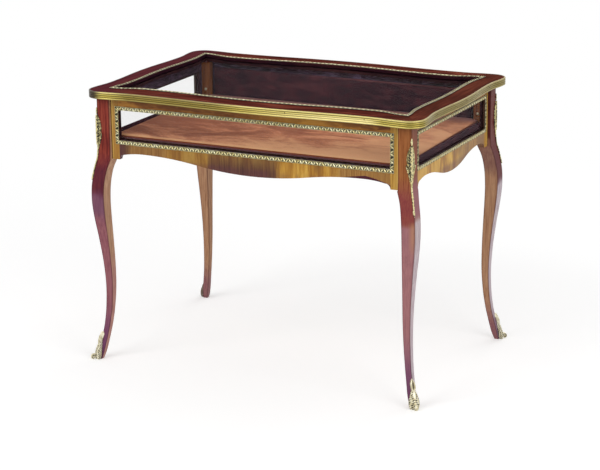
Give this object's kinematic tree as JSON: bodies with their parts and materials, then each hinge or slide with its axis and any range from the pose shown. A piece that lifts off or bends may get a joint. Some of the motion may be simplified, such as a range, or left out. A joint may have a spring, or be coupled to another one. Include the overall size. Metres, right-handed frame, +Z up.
{
  "type": "display table",
  "caption": "Glazed collectors display table: shallow velvet-lined case under a hinged serpentine glass lid, on slender cabriole legs with gilt mounts.",
  "frame": {"origin": "on the floor under the middle of the table", "axes": "+X along the front to the viewer's right, +Y from the front to the hinged back, +Z up"},
  "size_m": [0.982, 0.6525, 0.763],
  "materials": {
    "leg_veneer": "polished red-brown veneer",
    "lid_wood": "polished dark mahogany",
    "panel_veneer": "polished golden-brown banded veneer",
    "golden_veneer": "polished golden crossbanding",
    "dark_wood": "stained, satin",
    "plain_wood": "unpolished",
    "gilt_bronze": "cast and gilded",
    "brass": "polished",
    "steel": "bright",
    "glass": "clear",
    "rose_velvet": "rose velvet with a clouded nap",
    "plum_velvet": "dark plum velvet"
  },
  "bodies": {
    "case": {"leg_front_left": "leg_veneer", "leg_front_right": "leg_veneer", "leg_back_right": "leg_veneer", "leg_back_left": "leg_veneer", "knee_mount_front_left": "gilt_bronze", "knee_mount_front_right": "gilt_bronze", "knee_mount_back_right": "gilt_bronze", "knee_mount_back_left": "gilt_bronze", "sabot_front_left": "gilt_bronze", "sabot_front_right": "gilt_bronze", "sabot_back_right": "gilt_bronze", "sabot_back_left": "gilt_bronze", "top_rail_front": "panel_veneer", "top_rail_right": "panel_veneer", "top_rail_back": "panel_veneer", "top_rail_left": "panel_veneer", "apron_front": "panel_veneer", "apron_right": "panel_veneer", "apron_back": "panel_veneer", "apron_left": "panel_veneer", "stiles_front": "golden_veneer", "stiles_right": "golden_veneer", "stiles_back": "golden_veneer", "stiles_left": "golden_veneer", "border_front": "gilt_bronze", "border_right": "gilt_bronze", "border_left": "gilt_bronze", "glass_front": "glass", "glass_right": "glass", "glass_left": "glass", "beads_front": "dark_wood", "beads_right": "dark_wood", "beads_left": "dark_wood", "corner_blocks": "dark_wood", "back_panel": "dark_wood", "back_lining": "plum_velvet", "bottom_board": "plain_wood", "board_bearers": "plain_wood", "display_board": "plain_wood", "display_velvet": "rose_velvet", "hinge_leaves_case": "brass", "block_screws": "brass", "hinge_pins": "steel", "hinge_screws_case": "steel"},
    "lid": {"lid_rail_front": "lid_wood", "lid_rail_right": "lid_wood", "lid_rail_back": "lid_wood", "lid_rail_left": "lid_wood", "lid_keys": "plain_wood", "lid_glass": "glass", "lid_beads": "dark_wood", "lid_border": "gilt_bronze", "brass_edge_front": "brass", "brass_edge_right": "brass", "brass_edge_back": "brass", "brass_edge_left": "brass", "brass_edge_corners": "brass", "edge_pins": "brass", "hinge_leaves_lid": "brass", "hinge_screws_lid": "steel"}
  },
  "joints": [
    {"name": "lid_hinge", "type": "hinge", "parent": "case", "child": "lid", "pos_m": [0, 0.2972, 0.73975], "axis": [-1, 0, 0], "range_deg": [0, 93]}
  ]
}
